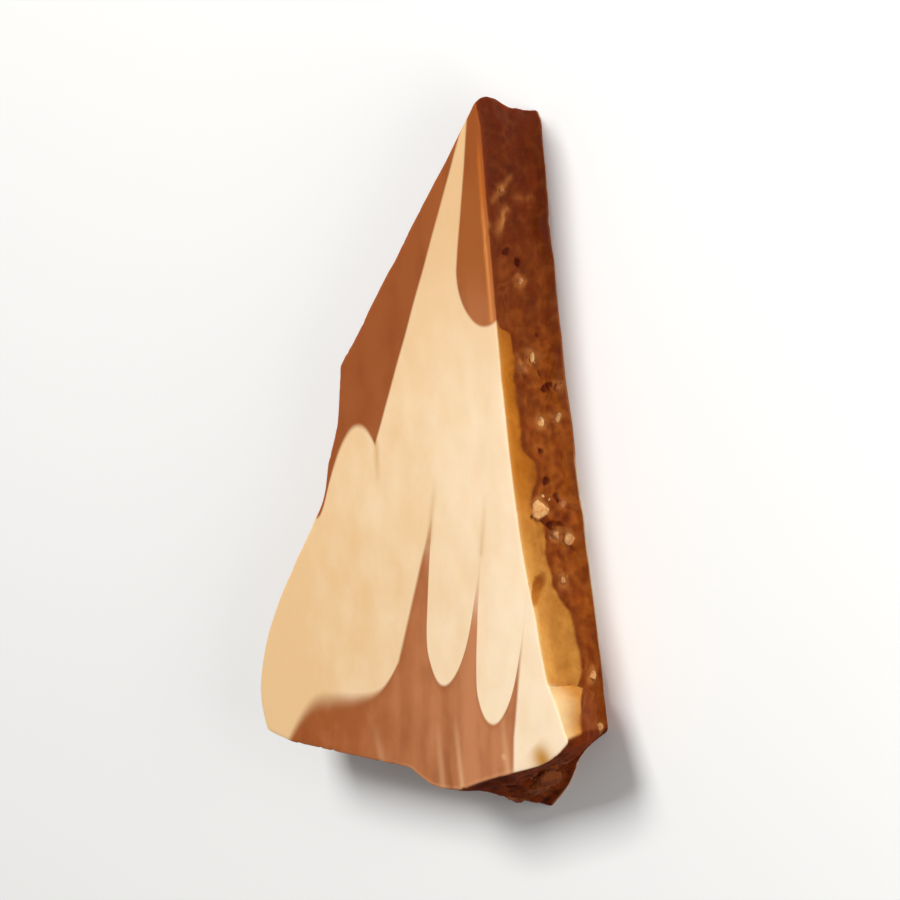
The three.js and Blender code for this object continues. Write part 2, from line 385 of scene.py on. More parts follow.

# %% [markdown]
# The fine relief is a push in or out along the edge's outward direction. A break is a field
# of small shell-shaped chips: shallow bowls with ridges where two of them meet. Round the
# crunch the chips are smaller and rougher. Pits are round bowls with torn edges. With the
# relief comes a tint: below zero it is painted shade in pits and cracks, and above zero it is
# where toffee has stained the chocolate.

# %% The broken edge's fine relief
CHIP_SIZE, CHIP_DEPTH = 2.7, 0.3
CRUMB_SIZE, CRUMB_DEPTH, BOWL_MEAN = 1.0, 0.36, 0.25
CRUMBLE_REACH, CRUMBLE_PATCH, PIT_CRUMBLE = 1.6, 2.6, 0.5
LUMP_SIZE, LUMP_DEPTH = 0.8, 0.16
GRAIN_SIZE, GRAIN_DEPTH = 0.5, 0.07
MOAT_WIDTH, MOAT_DEPTH = 0.3, 0.04
PIT_SHARPNESS, PIT_DARKNESS = 0.9, 1.4
STAIN_START, STAIN_REACH, STAIN_STRENGTH, STAIN_BY_TONE = 0.8, 0.5, 0.35, 0.5


def warped(points, size, strength, seed):
    """Points moved about by a cloud for each axis."""
    clouds = [cloud(points, size, seed + axis) for axis in range(3)]
    return points + strength * np.stack(clouds, axis=-1)


def from_line(points, start_height, start_y, end_height, end_y, half_width):
    """Distance to a straight line on the right-hand break, as a share of its half width."""
    start = edge_point(right_column(start_y), start_height)
    run = edge_point(right_column(end_y), end_height) - start
    share = np.clip((points - start) @ run / (run @ run), 0, 1)
    return np.linalg.norm(points - start - share[..., None] * run, axis=-1) / half_width


def fine_relief(points):
    """How far the fine relief moves each point, outwards is more than zero, and its tint."""
    torn = warped(points, size=1.0, strength=0.5, seed=71)
    crumbly, moat, pit, stain, dark = np.zeros((5, *points.shape[:-1]))
    for column, height, radius, tone in CRUNCH:
        apart = np.linalg.norm(torn - edge_point(column, height), axis=-1)
        crumbly += np.exp(-(apart / (CRUMBLE_REACH + radius)) ** 2)
        moat = np.maximum(moat, np.exp(-((apart - radius) / MOAT_WIDTH) ** 2))
        beyond = np.maximum(apart - STAIN_START * radius, 0)
        strength = STAIN_STRENGTH + STAIN_BY_TONE * max(tone, -0.4)
        stain = np.maximum(stain, strength * np.exp(-(beyond / STAIN_REACH) ** 2))
    for column, height, radius in PITS:
        apart = np.linalg.norm(torn - edge_point(column, height), axis=-1)
        crumbly += PIT_CRUMBLE * np.exp(-(apart / (CRUMBLE_REACH + radius)) ** 2)
        pit = np.maximum(pit, np.sqrt(np.maximum(radius ** 2 - apart ** 2, 0)))
        # painted shade in the pits, carried by the tint
        dark = np.maximum(dark, np.exp(-(apart / radius) ** 4))
    crumbly *= 0.7 + 0.7 * cloud(points, CRUMBLE_PATCH, seed=5)
    bent = warped(points, size=2.0, strength=0.5, seed=51)
    push = CHIP_DEPTH * (bowls(bent, CHIP_SIZE, seed=23) - BOWL_MEAN)
    crumbs = CRUMB_DEPTH * (bowls(bent, CRUMB_SIZE, seed=29) - BOWL_MEAN)
    crumbs += LUMP_DEPTH * cloud(points, LUMP_SIZE, seed=11, layers=2)
    push += np.clip(crumbly, 0, 1) * (crumbs - MOAT_DEPTH * moat) - PIT_SHARPNESS * pit
    push += GRAIN_DEPTH * cloud(points, GRAIN_SIZE, seed=31, layers=2)
    tint = stain - PIT_DARKNESS * dark
    for *line, mark_push, mark_tint in RIGHT_MARKS:
        bell = np.exp(-from_line(torn, *line) ** 2)
        push += mark_push * bell
        tint += mark_tint * bell
    return push, np.clip(tint, -1, 1)


# %% [markdown]
# The skin is one closed grid. Its rows start at the middle of the back, run out to its rim,
# climb the broken edge, turn over the face's rim on a small round and run in to the middle of
# the face. Each end closes in a single point. Three numbers are kept for every corner, for
# the finish: how far it is from the face's rim, how far the relief moved it, and its tint.

# %% Rows of the skin
EDGE_ROWS = 50
RIM_ROUND = 0.2
RIM_ROUND_ROWS = 4
CALM_DEPTH, CALM_SHARE = 1.3, 0.12
NIBBLE_SIZE, NIBBLE_DEPTH, NIBBLE_REACH = 1.3, 0.4, 0.45
NIBBLED_BELOW, NIBBLED_MORE = -29, 1.6
LEAST_SQUARE_ON = 0.3
FACE_INSETS = (0.35, 0.6, 0.9, 1.3, 1.9)
INNER_SHARES = (0.93, 0.8, 0.62, 0.42, 0.2)


def edge_rows():
    """Heights of the rows on the break and their insets: both small rounds are quarter
    circles, and the rows between them are even."""
    turn = np.linspace(0, math.pi / 2, RIM_ROUND_ROWS)
    low = RIM_ROUND * (1 - np.cos(turn))
    low_inset = RIM_ROUND * (1 - np.sin(turn))
    between_rounds = np.linspace(RIM_ROUND, THICKNESS - RIM_ROUND, EDGE_ROWS)[1:-1]
    heights = np.concatenate([low, between_rounds, THICKNESS - low[::-1]])
    insets = np.concatenate([low_inset, np.zeros(EDGE_ROWS - 2), low_inset[::-1]])
    return heights, insets


def drawn_in(plane, inset):
    """Points moved towards the grid's centre until they lie this far inside their rim."""
    away = plane - GRID_CENTRE
    radius = np.linalg.norm(away, axis=-1)
    square_on = np.sum(away * RIM_OUT, axis=-1) / radius
    share = 1 - inset / (radius * np.maximum(square_on, LEAST_SQUARE_ON))
    return GRID_CENTRE + away * share[..., None]


def rim_nibbles(plane, level):
    """Tiny chips out of both rims, where a cloud along the rim is high, and more of them
    on the bottom break."""
    beside_rim = np.dstack([plane, np.full_like(level, 3.0)])
    nibble = np.maximum(cloud(beside_rim, NIBBLE_SIZE, seed=43, layers=2) - 0.25, 0)
    nibble *= 1 + NIBBLED_MORE * np.clip(NIBBLED_BELOW - plane[..., 1], 0, 1)
    from_rim = np.minimum(THICKNESS - level, level)
    return NIBBLE_DEPTH * nibble * np.exp(-from_rim / NIBBLE_REACH)


def skin_points():
    """Rings on the back, the edge's rows and rings on the face, with each corner's distance
    from the face's rim, its relief and its tint."""
    heights, insets = edge_rows()
    column, level = np.meshgrid(np.arange(COLUMNS), heights)
    plane = edge_surface(column, level)
    relief, tint = fine_relief(np.dstack([plane, level]))
    from_rim = np.minimum(THICKNESS - level, level)
    relief *= np.clip(from_rim / CALM_DEPTH, CALM_SHARE, 1)
    push = relief - rim_nibbles(plane, level)
    plane = drawn_in(plane + RIM_OUT * push[..., None], insets[:, None])
    face = drawn_in(plane[-1], np.array(FACE_INSETS)[:, None])
    shares = np.array(INNER_SHARES)[:, None, None]
    face = np.vstack([face, GRID_CENTRE + (face[-1] - GRID_CENTRE) * shares])
    back = GRID_CENTRE + (plane[0] - GRID_CENTRE) * shares[::-1]
    face = np.dstack([face, np.full(face.shape[:2], THICKNESS)])
    back = np.dstack([back, np.zeros(back.shape[:2])])
    skin = np.vstack([back, np.dstack([plane, level]), face])
    insets_in = [*FACE_INSETS, *[2 * FACE_INSETS[-1]] * len(INNER_SHARES)]
    distance = np.concatenate([[THICKNESS] * len(back), THICKNESS - heights, insets_in])
    padding = ((len(back), len(face)), (0, 0))
    distance = np.repeat(distance, COLUMNS).reshape(-1, COLUMNS)
    return skin, distance, np.pad(relief, padding), np.pad(tint, padding)


SKIN, FROM_RIM, RELIEF, TINT = skin_points()
low, high = SKIN.min(axis=(0, 1)), SKIN.max(axis=(0, 1))
MIDDLE = np.array([(low[0] + high[0]) / 2, (low[1] + high[1]) / 2, 0.0])
print("skin of", SKIN.shape[:2], "corners, size", np.round(high - low, 2), "mm")

# %% From a grid to a closed mesh
def grid_faces(rows, columns):
    """Corner numbers of the triangles of a grid that joins up sideways."""
    row, column = np.meshgrid(np.arange(rows - 1), np.arange(columns), indexing="ij")
    here = row * columns + column
    beside = row * columns + (column + 1) % columns
    halves = [(here, beside, beside + columns), (here, beside + columns, here + columns)]
    return np.vstack([np.stack(half, axis=-1).reshape(-1, 3) for half in halves])


def new_object(name, data):
    """An object for a mesh, a light or a camera, linked into the scene."""
    thing = bpy.data.objects.new(name, data)
    bpy.context.scene.collection.objects.link(thing)
    return thing


def make_piece(name, corners, triangles, smooth, **kept):
    """A mesh object at the origin from corners in millimetres and triangles, with the
    named numbers kept for each corner."""
    mesh = bpy.data.meshes.new(name)
    mesh.from_pydata((corners - MIDDLE) * MM, [], triangles, shade_flat=not smooth)
    for number, values in kept.items():
        layer = mesh.attributes.new(number, "FLOAT", "POINT")
        layer.data.foreach_set("value", values.astype(np.float32))
    return new_object(name, mesh)


def skin_piece(name):
    """The grid's triangles, with a fan of triangles to each closing point."""
    rows, columns = SKIN.shape[:2]
    ring = np.arange(columns)
    beside = (ring + 1) % columns
    back_point, face_point = rows * columns, rows * columns + 1
    last_row = (rows - 1) * columns
    back_fan = np.column_stack([np.full(columns, back_point), beside, ring])
    face_fan = np.column_stack([np.full(columns, face_point), last_row + ring, last_row + beside])
    poles = [[*GRID_CENTRE, 0.0], [*GRID_CENTRE, THICKNESS]]
    corners = np.vstack([SKIN.reshape(-1, 3), poles])
    triangles = np.vstack([grid_faces(rows, columns), back_fan, face_fan])
    kept = {
        "from_rim": np.append(FROM_RIM, [THICKNESS] * 2),
        "relief": np.append(RELIEF, [0.0] * 2),
        "tint": np.append(TINT, [0.0] * 2),
    }
    return make_piece(name, corners, triangles, True, **kept)


chocolate = skin_piece("marbled_chocolate")
print("chocolate skin:", len(chocolate.data.polygons), "triangles")

# %% [markdown]
# Caramel crunch is brittle, so it breaks in angular bits with flat facets that catch the
# light. Each place has one big bit sunk half into the break, chips beside it and a scatter
# of crumbs. All start as balls of triangles, copied as arrays. Seeded chance cuts flats from
# each copy, stretches it and turns it, and all copies are joined in one mesh.

# %% Patterns for the crunch
def coarse_ball():
    """Corners and triangles of the regular solid with twenty sides, at radius 1."""
    gold = (1 + math.sqrt(5)) / 2
    four = [(s, t * gold, 0) for s in (-1, 1) for t in (-1, 1)]
    corners = np.vstack([np.roll(four, turn, axis=1) for turn in range(3)])
    near = np.linalg.norm(corners[:, None] - corners, axis=-1) < 2.1  # a side is 2 long
    triples = np.array(list(combinations(range(12), 3)))
    a, b, c = triples.T
    triangles = triples[near[a, b] & near[b, c] & near[a, c]]
    sides = corners[triangles]
    normal = np.cross(sides[:, 1] - sides[:, 0], sides[:, 2] - sides[:, 0])
    inward = np.sum(normal * sides[:, 0], axis=1) < 0
    triangles[inward] = triangles[inward][:, ::-1]
    return corners / np.linalg.norm(corners[0]), triangles


def finer_ball(corners, triangles):
    """Each triangle is cut in four at the middles of its sides, which move out to radius 1."""
    sides = np.stack([triangles, np.roll(triangles, -1, axis=1)], axis=-1)
    pairs, numbers = np.unique(np.sort(sides.reshape(-1, 2)), axis=0, return_inverse=True)
    middles = corners[pairs].mean(axis=1)
    middles /= np.linalg.norm(middles, axis=1)[:, None]
    ab, bc, ca = numbers.reshape(-1, 3).T + len(corners)
    a, b, c = triangles.T
    quarters = [(a, ab, ca), (b, bc, ab), (c, ca, bc), (ab, bc, ca)]
    return np.vstack([corners, middles]), np.vstack([np.column_stack(q) for q in quarters])


COARSE = coarse_ball()
MIDDLING = finer_ball(*COARSE)
FINE = finer_ball(*finer_ball(*MIDDLING))
print("patterns with", [len(pattern[1]) for pattern in (COARSE, MIDDLING, FINE)], "sides")

# %% Bits, chips and crumbs of crunch
CRUNCH_SEED = 33
CRUNCH_SINK = 0.55
BIT_SHARE = 1.25
FLATS, FLAT_SHARES, ROUGHNESS, STRETCH = 12, (0.6, 1.0), 0.045, (0.8, 1.3)
SMALLER_ONES = [
    # how many to a bit, sizes, whether they are shares of the bit's radius, then how far
    # from its middle in its radii, and the share of its tone
    (2, (0.15, 0.4), True, (1.1, 1.9), 0.8),
    (4, (0.07, 0.17), False, (0.9, 2.5), 0.5),
]
SMALL_BIAS, SMALL_SINK, CLEAR_OF_FACES, TONE_SPREAD = 1.5, 0.6, 0.3, 0.15


def random_turns(count, chance):
    """Rotation matrices from random quaternions of length 1."""
    quaternion = chance.normal(size=(count, 4))
    w, x, y, z = (quaternion / np.linalg.norm(quaternion, axis=1)[:, None]).T
    rows = [
        [1 - 2 * (y * y + z * z), 2 * (x * y - z * w), 2 * (x * z + y * w)],
        [2 * (x * y + z * w), 1 - 2 * (x * x + z * z), 2 * (y * z - x * w)],
        [2 * (x * z - y * w), 2 * (y * z + x * w), 1 - 2 * (x * x + y * y)],
    ]
    return np.array(rows).transpose(2, 0, 1)


def cut_copies(pattern, centres, radii, chance):
    """Copies of a ball: each corner is drawn in to the nearest of a few random planes, so
    that flats come. Each copy is roughened, stretched along three directions and turned,
    then scaled and moved."""
    corners, triangles = pattern
    count, size = len(radii), len(corners)
    planes = chance.normal(size=(count, FLATS, 3))
    planes /= np.linalg.norm(planes, axis=-1)[..., None]
    towards = corners @ planes.transpose(0, 2, 1)
    away = chance.uniform(*FLAT_SHARES, (count, 1, FLATS))
    reach = np.min(away / np.maximum(towards, 0.1), axis=-1)
    reach = np.minimum(reach, 1) * chance.uniform(1 - ROUGHNESS, 1 + ROUGHNESS, (count, size))
    shapes = corners * reach[..., None] * chance.uniform(*STRETCH, (count, 1, 3))
    turned = shapes @ random_turns(count, chance).transpose(0, 2, 1)
    placed = turned * radii[:, None, None] + centres[:, None]
    sides = triangles + size * np.arange(count)[:, None, None]
    return placed.reshape(-1, 3), sides.reshape(-1, 3)


def crunch_places(chance):
    """Rows of centre, radius, tone, direction outwards and how far out the break is there,
    for the bits, for the chips and for the crumbs."""
    bits, chips, crumbs = [], [], []
    for column, height, radius, tone in CRUNCH:
        out = np.append(RIM_OUT[column], 0)
        surface = edge_point(column, height)
        core = surface - out * CRUNCH_SINK * radius
        bits.append((*core, BIT_SHARE * radius, tone, *out[:2], surface @ out))
        for rows, smaller in zip((chips, crumbs), SMALLER_ONES):
            count, sizes, are_shares, spread, dimming = smaller
            angle = chance.uniform(0, 2 * math.pi, count)
            reach = radius * chance.uniform(*spread, count)
            sizes = np.array(sizes) * (radius if are_shares else 1)
            size = between(sizes, chance.random(count) ** SMALL_BIAS)
            steps = np.round(reach * np.cos(angle) / COLUMN_SPACING).astype(int)
            margin = size + CLEAR_OF_FACES
            heights = np.clip(height + reach * np.sin(angle), margin, THICKNESS - margin)
            plane = edge_surface((column + steps) % COLUMNS, heights)
            centre = np.column_stack([plane, heights]) - out * (SMALL_SINK * size)[:, None]
            mixed = dimming * tone + chance.normal(0, TONE_SPREAD, count)
            mixed = np.clip(mixed, min(tone, 0), 1)
            outs = np.tile(out[:2], (count, 1))
            rows.extend(np.column_stack([centre, size, mixed, outs, plane @ out[:2]]))
    return [np.array(rows) for rows in (bits, chips, crumbs)]


def crunch_piece(name):
    """All copies as one mesh, with each corner's tone and how far it stands out of the
    break, as a share of its bit's radius."""
    chance = np.random.default_rng(CRUNCH_SEED)
    corners, triangles, tones, rises, count = [], [], [], [], 0
    for rows, pattern in zip(crunch_places(chance), (FINE, MIDDLING, COARSE)):
        placed, sides = cut_copies(pattern, rows[:, :3], rows[:, 3], chance)
        radius, tone, *out, level = np.repeat(rows[:, 3:], len(pattern[0]), axis=0).T
        corners.append(placed)
        triangles.append(sides + count)
        tones.append(tone)
        rises.append((np.sum(placed[:, :2].T * out, axis=0) - level) / radius)
        count += len(placed)
    kept = {"tone": np.concatenate(tones), "rise": np.concatenate(rises)}
    return make_piece(name, np.vstack(corners), np.vstack(triangles), False, **kept)


crunch = crunch_piece("caramel_crunch")
print("crunch:", len(crunch.data.polygons), "triangles")

# %% Both pieces ride on the one body and stand for the solid
for piece, slot_name in ((chocolate, "marbled_chocolate"), (crunch, "caramel_crunch")):
    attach(piece, "root")
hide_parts("chocolate_piece")
print("pieces:", chocolate.name, "and", crunch.name)

# %% [markdown]
# Materials are arithmetic here. A Wire wraps a node's output, and arithmetic on wires adds the
# Math nodes, so a pattern reads like a formula. A Finish holds one material, and its node
# method adds any other node.

# %% A small language for materials
def maths(operation, swapped=False):
    """A method that adds a Math node, with the wire first, or last where it is swapped."""
    def method(wire, *others):
        inputs = dict(enumerate((*others, wire) if swapped else (wire, *others)))
        return wire.finish.node("ShaderNodeMath", {"operation": operation}, inputs)
    return method


class Wire:
    """The output of a node, with arithmetic that adds Math nodes."""

    __add__ = __radd__ = maths("ADD")
    __mul__ = __rmul__ = maths("MULTIPLY")
    __sub__ = maths("SUBTRACT")
    __rsub__ = maths("SUBTRACT", swapped=True)
    __truediv__ = maths("DIVIDE")
    __pow__ = maths("POWER")
    least = maths("MINIMUM")
    most = maths("MAXIMUM")
    size = maths("ABSOLUTE")
    root = maths("SQRT")
    growth = maths("EXPONENT")

    def __init__(self, finish, socket):
        self.finish = finish
        self.socket = socket

    def __neg__(self):
        return self * -1.0

    def decay(self):
        """e to the power of minus this."""
        return (-self).growth()

    def step(self, start, end):
        """0 before start, 1 after end, and a smooth step between them."""
        inputs = {"Value": self, "From Min": start, "From Max": end}
        settings = {"interpolation_type": "SMOOTHSTEP"}
        return self.finish.node("ShaderNodeMapRange", settings, inputs)

    def mix(self, first, second):
        """From the first colour, where this mask is 0, to the second, where it is 1."""
        inputs = {0: self, 6: linear(first), 7: linear(second)}
        return self.finish.node("ShaderNodeMix", {"data_type": "RGBA"}, inputs, output=2)


def washed(colour, *washes):
    """Lays washes over a colour in turn, each a mask and the wash's own colour."""
    for mask, wash in washes:
        colour = mask.mix(colour, wash)
    return colour


def linear(tone):
    """Red, green and blue in steps of 255 become a linear colour. A wire stays a wire."""
    if isinstance(tone, Wire):
        return tone
    shares = np.array(tone) / 255
    curved = np.where(shares <= 0.04045, shares / 12.92, ((shares + 0.055) / 1.055) ** 2.4)
    return (*curved.tolist(), 1.0)


class Finish:
    """One material with a Principled shader, whose set method links or sets its sockets."""

    def __init__(self, name):
        self.material = bpy.data.materials.new(name)
        self.material.use_nodes = True
        self.tree = self.material.node_tree
        self.shader = self.tree.nodes["Principled BSDF"]
        in_metres = self.node("ShaderNodeTexCoord", output="Object")
        self.place = self.scaled(in_metres, (1 / MM,) * 3, tuple(MIDDLE))

    def node(self, kind, settings=None, inputs=None, output=0):
        """Adds a node: its settings first, then its inputs, and gives one output."""
        node = self.tree.nodes.new(kind)
        for key, value in (settings or {}).items():
            setattr(node, key, value)
        for key, value in (inputs or {}).items():
            self.fill(node.inputs[key], value)
        return Wire(self, node.outputs[output])

    def fill(self, socket, value):
        """Links a wire to a socket, or sets the socket's own value."""
        if isinstance(value, Wire):
            self.tree.links.new(value.socket, socket)
        else:
            socket.default_value = value

    def set(self, **sockets):
        for key, value in sockets.items():
            self.fill(self.shader.inputs[key.replace("_", " ")], value)

    def scaled(self, vector, scale, move=(0, 0, 0)):
        inputs = {"Vector": vector, "Scale": scale, "Location": move}
        return self.node("ShaderNodeMapping", inputs=inputs)

    def axes(self):
        """The place in millimetres, as three wires."""
        split = {"Vector": self.place}
        return [self.node("ShaderNodeSeparateXYZ", inputs=split, output=axis) for axis in "XYZ"]

    def number(self, name):
        """A number kept with the mesh's corners."""
        return self.node("ShaderNodeAttribute", {"attribute_name": name}, output="Fac")

    def noise(self, size, detail=2.0, stretch=(1, 1, 1)):
        """Noise with features of this size in millimetres, from -0.5 to 0.5."""
        vector = self.scaled(self.place, tuple(s / size for s in stretch))
        inputs = {"Vector": vector, "Scale": 1.0, "Detail": detail}
        return self.node("ShaderNodeTexNoise", inputs=inputs) - 0.5

    def profile(self, value, points):
        """A smooth curve through a few points, each a place and the number there."""
        places, numbers = np.array(points, dtype=float).T
        start, width = places.min(), np.ptp(places)
        lowest, rise = numbers.min(), np.ptp(numbers)
        node = self.tree.nodes.new("ShaderNodeFloatCurve")
        curve = node.mapping.curves[0]
        while len(curve.points) < len(points):
            curve.points.new(0.5, 0.5)
        for point, place, number in zip(curve.points, places, numbers):
            point.location = ((place - start) / width, (number - lowest) / rise)
        node.mapping.update()
        self.fill(node.inputs["Value"], (value - start) / width)
        return Wire(self, node.outputs[0]) * rise + lowest

    def bump(self, height):
        """Normal for a height in millimetres."""
        return self.node("ShaderNodeBump", inputs={"Height": height, "Distance": MM})


# %% [markdown]
# The marbling is the heart of the piece. The blonde chocolate is one pool with long drips
# hanging down into the milk chocolate, and the milk comes in from the top as a stripe on the
# left and as a round tongue on the right. Each shape is a formula that is above zero inside
# it. The larger of two joins them, and the smaller cuts one by the other.

# %% Shapes of the marbling
DRIP_LEAN, DRIP_WALL_HEIGHT = 0.1, 8.0
DRIPS = [
    # bottom x and y, then the curve, the wall's place and its sharpness to left and to right
    (3.94, -24.8, (0.42, 3.6, 16), (0.45, 4.45, 10)),
    (11.93, -28.0, (0.40, 3.6, 14), (0.50, 3.88, 12)),
]
WALL_X, WALL_Y, WALL_SLANT = -3.3, -23.0, 0.31
FLOOR_Y, FLOOR_SLOPE, CURL_HEIGHT, CURL_REACH = -27.6, 0.2, 4.3, 1.1
FLOOR_END, FLOOR_DROP = 9.5, 0.045
STRIP_X, STRIP_Y, STRIP_SLANT = 15.4, -29.0, 0.125
STRIPE_X, STRIPE_Y, STRIPE_SLANT = -7.35, 0.83, 0.366
LOBE_X, LOBE_TOP, LOBE_CURVE, LOBE_END, LOBE_UPTURN = -9.67, 3.15, 0.29, -15.3, 1.3
TONGUE_X, TONGUE_Y, TONGUE_LEAN = 10.2, 23.5, 0.1
TONGUE_HALF_WIDTH, TONGUE_LENGTH = 4.15, 5.9
# These turn their formulas into about a distance in millimetres.
FLOOR_SCALE, STRIPE_SCALE, TONGUE_SCALE = 0.55, 1.4, 6.0


def drip(x, y, bottom_x, bottom_y, left, right):
    """A drip of blonde: its lower edge rises as a parabola each way from its lowest point
    and then turns up into a wall. The drip leans a little to the right as it rises."""
    height = y - bottom_y
    across = x - DRIP_LEAN * height - bottom_x
    for away, (curve, wall, sharpness) in ((-across, left), (across, right)):
        away = away.most(0.0)
        height = height - curve * away * away - DRIP_WALL_HEIGHT * (away / wall) ** sharpness
    return height


def blonde_pool(x, y):
    """The blonde below the middle: left of a slanting wall, above a floor that curls up to
    it, and in the drips, with a straight strip down the right."""
    inside = WALL_X + WALL_SLANT * (y - WALL_Y) - x
    along = inside.most(0.0)
    floor = FLOOR_Y - FLOOR_SLOPE * along + CURL_HEIGHT * (along / CURL_REACH).decay()
    floor = floor - FLOOR_DROP * (along - FLOOR_END).most(0.0) ** 3.0
    pool = inside.least((y - floor) * FLOOR_SCALE)
    for shape in DRIPS:
        pool = pool.most(drip(x, y, *shape))
    return pool.most(x - STRIP_X - STRIP_SLANT * (y - STRIP_Y).most(0.0))


def milk_stripe(x, y):
    """The milk along the upper left, down to a round-topped lobe of blonde."""
    side = (STRIPE_X + STRIPE_SLANT * (y - STRIPE_Y) - x) * STRIPE_SCALE
    across = x - LOBE_X
    upturn = LOBE_UPTURN * (LOBE_END - x).most(0.0) ** 2.0
    return side.least(y - (LOBE_TOP - LOBE_CURVE * across * across + upturn))


def milk_tongue(x, y):
    """The milk along the upper right, with an elliptic end."""
    middle = TONGUE_X + TONGUE_LEAN * (y - TONGUE_Y).most(0.0)
    across = (middle - x) / TONGUE_HALF_WIDTH
    down = (TONGUE_Y - y).most(0.0) / TONGUE_LENGTH
    return (1.0 - (across * across + down * down).root()) * TONGUE_SCALE


print(len(DRIPS), "drips of blonde")

# %% [markdown]
# The face also has faint streaks, where the milk and the blonde dragged on each other. They
# are too soft for shapes, so each is only a tint along a straight line.

# %% Faint streaks on the face
FACE_STREAKS = [
    # from x and y, to x and y, half width, then the strength: pale above zero, dark below
    (7.2, -36.8, 5.8, -27.8, 0.4, 0.5),
    (3.9, -36.6, 3.0, -29.0, 0.5, 0.35),
    (5.5, -37.2, 4.4, -32.0, 0.4, -0.45),
    (13.8, -31.5, 13.6, -31.0, 0.3, 0.5),
    (14.7, -34.5, 13.4, -26.0, 0.5, 0.4),
    (-6.0, -35.6, -7.4, -31.0, 0.6, 0.25),
    (20.1, -30.7, 18.6, -29.2, 1.5, -1.0),
    (1.6, -8.5, 2.7, -1.0, 0.42, -0.4),
    (10.1, -8.5, 10.9, -1.0, 0.4, -0.3),
    (-7.0, 1.6, -6.7, -3.5, 0.45, -0.45),
]


def streak_tint(x, y):
    """Sum of the streaks, each a bell curve of the distance to a straight line that fades
    from the line's start to its end."""
    total = 0.0
    for from_x, from_y, to_x, to_y, width, strength in FACE_STREAKS:
        run_x, run_y = to_x - from_x, to_y - from_y
        length = run_x ** 2 + run_y ** 2
        share = (x - from_x) * (run_x / length) + (y - from_y) * (run_y / length)
        share = share.most(0.0).least(1.0)
        off_x, off_y = x - from_x - run_x * share, y - from_y - run_y * share
        apart = (off_x * off_x + off_y * off_y) / width ** 2
        total = total + strength * (1.0 - share * share) * apart.decay()
    return total


print(len(FACE_STREAKS), "streaks")

# %% [markdown]
# The blonde is a layer on top, so a break that cuts it has a band of it along the face's rim.
# How deep it goes is a curve along Y. The bottom break, named low here, is milk alone.

# %% The blonde's share of the colour
RIGHT_LAYER = [
    # y, depth in millimetres
    (-40.0, 0.0), (-29.6, 0.1), (-28.4, 1.9), (-25.5, 2.8), (-23.2, 4.4), (-21.8, 5.8),
    (-19.0, 6.2), (-16.5, 6.1), (-14.0, 5.0), (-12.4, 4.1), (-10.5, 3.6), (-5.0, 4.2),
    (-3.7, 3.4), (-2.3, 2.1), (-0.6, 2.7), (1.4, 3.4), (4.4, 1.7), (8.3, 2.2),
    (16.0, 2.4), (17.3, 0.9), (18.4, 0.0), (45.0, 0.0),
]
LEFT_LAYER = [
    # the same, with no layer where the depth is below zero
    (-40.0, -1.0), (-35.2, -0.6), (-33.5, 1.2), (-30.0, 2.9), (-25.0, 2.1), (-19.0, 3.4),
    (-14.0, 2.0), (-11.0, 0.9), (-8.0, -0.6), (-4.0, -1.0), (45.0, -1.0),
]

CORNER_X, CORNER_Y = 24.2, -28.0
CORNER_PLANE = (0.64, -0.77, 0.16)


def marbling(finish, x, y, depth):
    """The blonde's share, how far inside its shapes each point of the face is, how deep its
    layer goes, and the bottom break, which ends at a slanting plane through the corner."""
    sway = finish.noise(5.0, detail=1.0, stretch=(1, 0.6, 1))
    drawn = x + 0.3 * sway, y + 0.3 * sway
    inside = blonde_pool(*drawn).least(-milk_stripe(*drawn)).least(-milk_tongue(*drawn))
    softness = 0.25 + 0.8 * (y + 0.25 * x).step(-27.0, -36.0)
    softness = softness + 0.25 * x.step(-6.5, -9.0) * y.step(6.0, 2.0) * y.step(-6.0, -2.0)
    on_face = (inside / softness).step(-1.0, 1.0)

    wobble = finish.noise(2.0)
    beneath_rim = depth.step(0.05, 0.35)
    right_break = x.step(14.8, 15.2) * beneath_rim
    left_break = x.step(-12.4, -13.2) * beneath_rim
    layer = (finish.profile(y, RIGHT_LAYER) + 0.5 * wobble).most(0.0)
    layer = layer * (inside / 0.3).most(right_break).least(1.0) + 0.3
    layer = layer + left_break * (finish.profile(y, LEFT_LAYER) + 1.6 * wobble - layer)
    offsets = (x - CORNER_X, y - CORNER_Y, depth)
    past_corner = sum(share * offset for share, offset in zip(CORNER_PLANE, offsets))
    low = y.step(-29.5, -31.5).most(past_corner.step(-0.6, -0.1)) * x.step(-6.0, 7.0)
    share = on_face.most(right_break).most(left_break) * (layer - depth).step(-0.3, 0.3)
    return share * (1.0 - low * depth.step(0.02, 0.2)), inside, layer, low


print("points on the layer's curves:", len(RIGHT_LAYER), "and", len(LEFT_LAYER))

# %% [markdown]
# Poured chocolate never sets in one flat colour. Each colour is built as a painter would: a
# base, and over it thin washes, each with a mask that says where it is and how strong.

